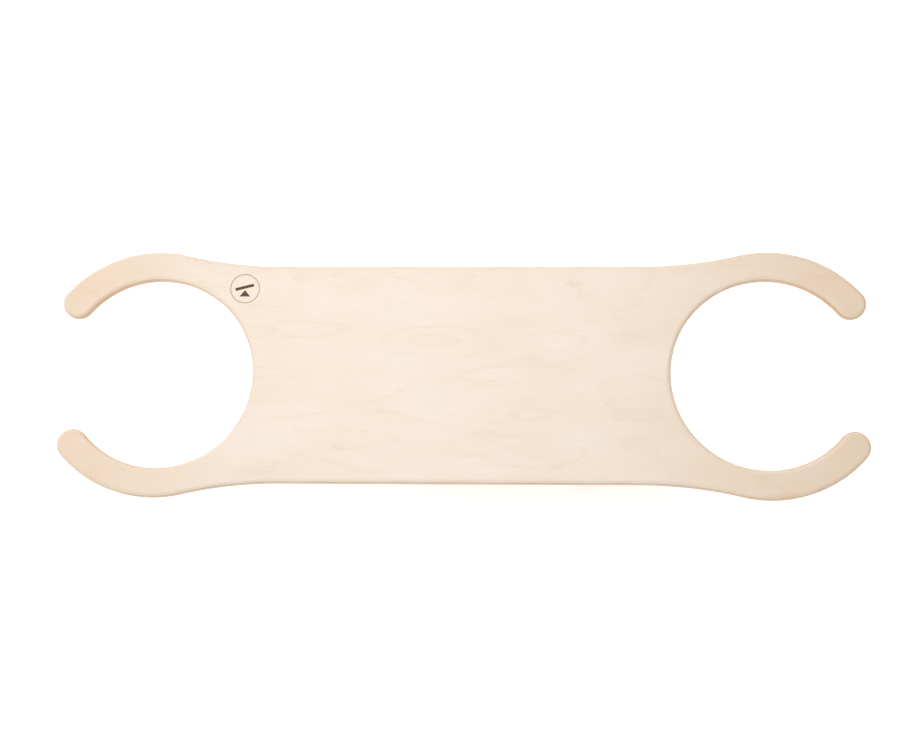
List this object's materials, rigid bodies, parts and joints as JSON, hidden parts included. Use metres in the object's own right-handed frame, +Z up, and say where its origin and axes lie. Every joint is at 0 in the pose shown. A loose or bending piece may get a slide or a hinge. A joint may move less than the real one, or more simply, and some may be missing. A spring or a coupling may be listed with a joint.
{
  "type": "seesaw",
  "caption": "Low plywood seesaw whose flat board with C-shaped ends tilts on a steel axle in a cheek stand with rubber feet and end buffers.",
  "frame": {"origin": "on the floor under the middle of the stand, which is the bottom centre of the whole object's box", "axes": "+X along the board, +Y across it along the axle, +Z up"},
  "size_m": [1.102, 0.34, 0.2],
  "materials": {
    "board_birch": "clear-lacquered birch veneer, satin",
    "birch_ply": "clear-lacquered birch plywood, satin",
    "beech": "plain turned beech",
    "steel": "zinc-plated",
    "dark_steel": "black-oxide steel",
    "brass": "plain",
    "rubber": "matte moulded rubber",
    "nylon": "natural nylon"
  },
  "bodies": {
    "stand": {"cheek_front": "birch_ply", "cheek_back": "birch_ply", "cross_rail_left": "birch_ply", "cross_rail_right": "birch_ply", "axle": "steel", "axle_spacer": "steel", "bush_core_front": "steel", "bush_core_back": "steel", "thrust_washer_front": "nylon", "thrust_washer_back": "nylon", "axle_washer_front": "steel", "axle_washer_back": "steel", "axle_bolt_front": "steel", "axle_bolt_back": "steel", "rail_bolts": "steel", "rail_barrel_nuts": "steel", "rail_dowels": "beech", "foot_shoe_front_left": "rubber", "foot_shoe_front_right": "rubber", "foot_shoe_back_left": "rubber", "foot_shoe_back_right": "rubber", "foot_screws": "dark_steel"},
    "beam": {"board": "board_birch", "bearer_front": "birch_ply", "bearer_back": "birch_ply", "bearer_brace_left": "birch_ply", "bearer_brace_right": "birch_ply", "bearer_bolts": "dark_steel", "bearer_washers": "steel", "board_inserts": "brass", "brace_screws": "dark_steel", "bush_outer_front": "steel", "bush_outer_back": "steel", "bush_rubber_front": "rubber", "bush_rubber_back": "rubber", "end_buffer_front_left": "rubber", "end_buffer_front_right": "rubber", "end_buffer_back_left": "rubber", "end_buffer_back_right": "rubber", "buffer_screws": "dark_steel"}
  },
  "joints": [
    {"name": "seesaw_tilt", "type": "hinge", "parent": "stand", "child": "beam", "pos_m": [0, 0, 0.15], "axis": [0, 1, 0], "range_deg": [-18.2, 18.2], "stiffness_Nm_per_rad": 12}
  ]
}
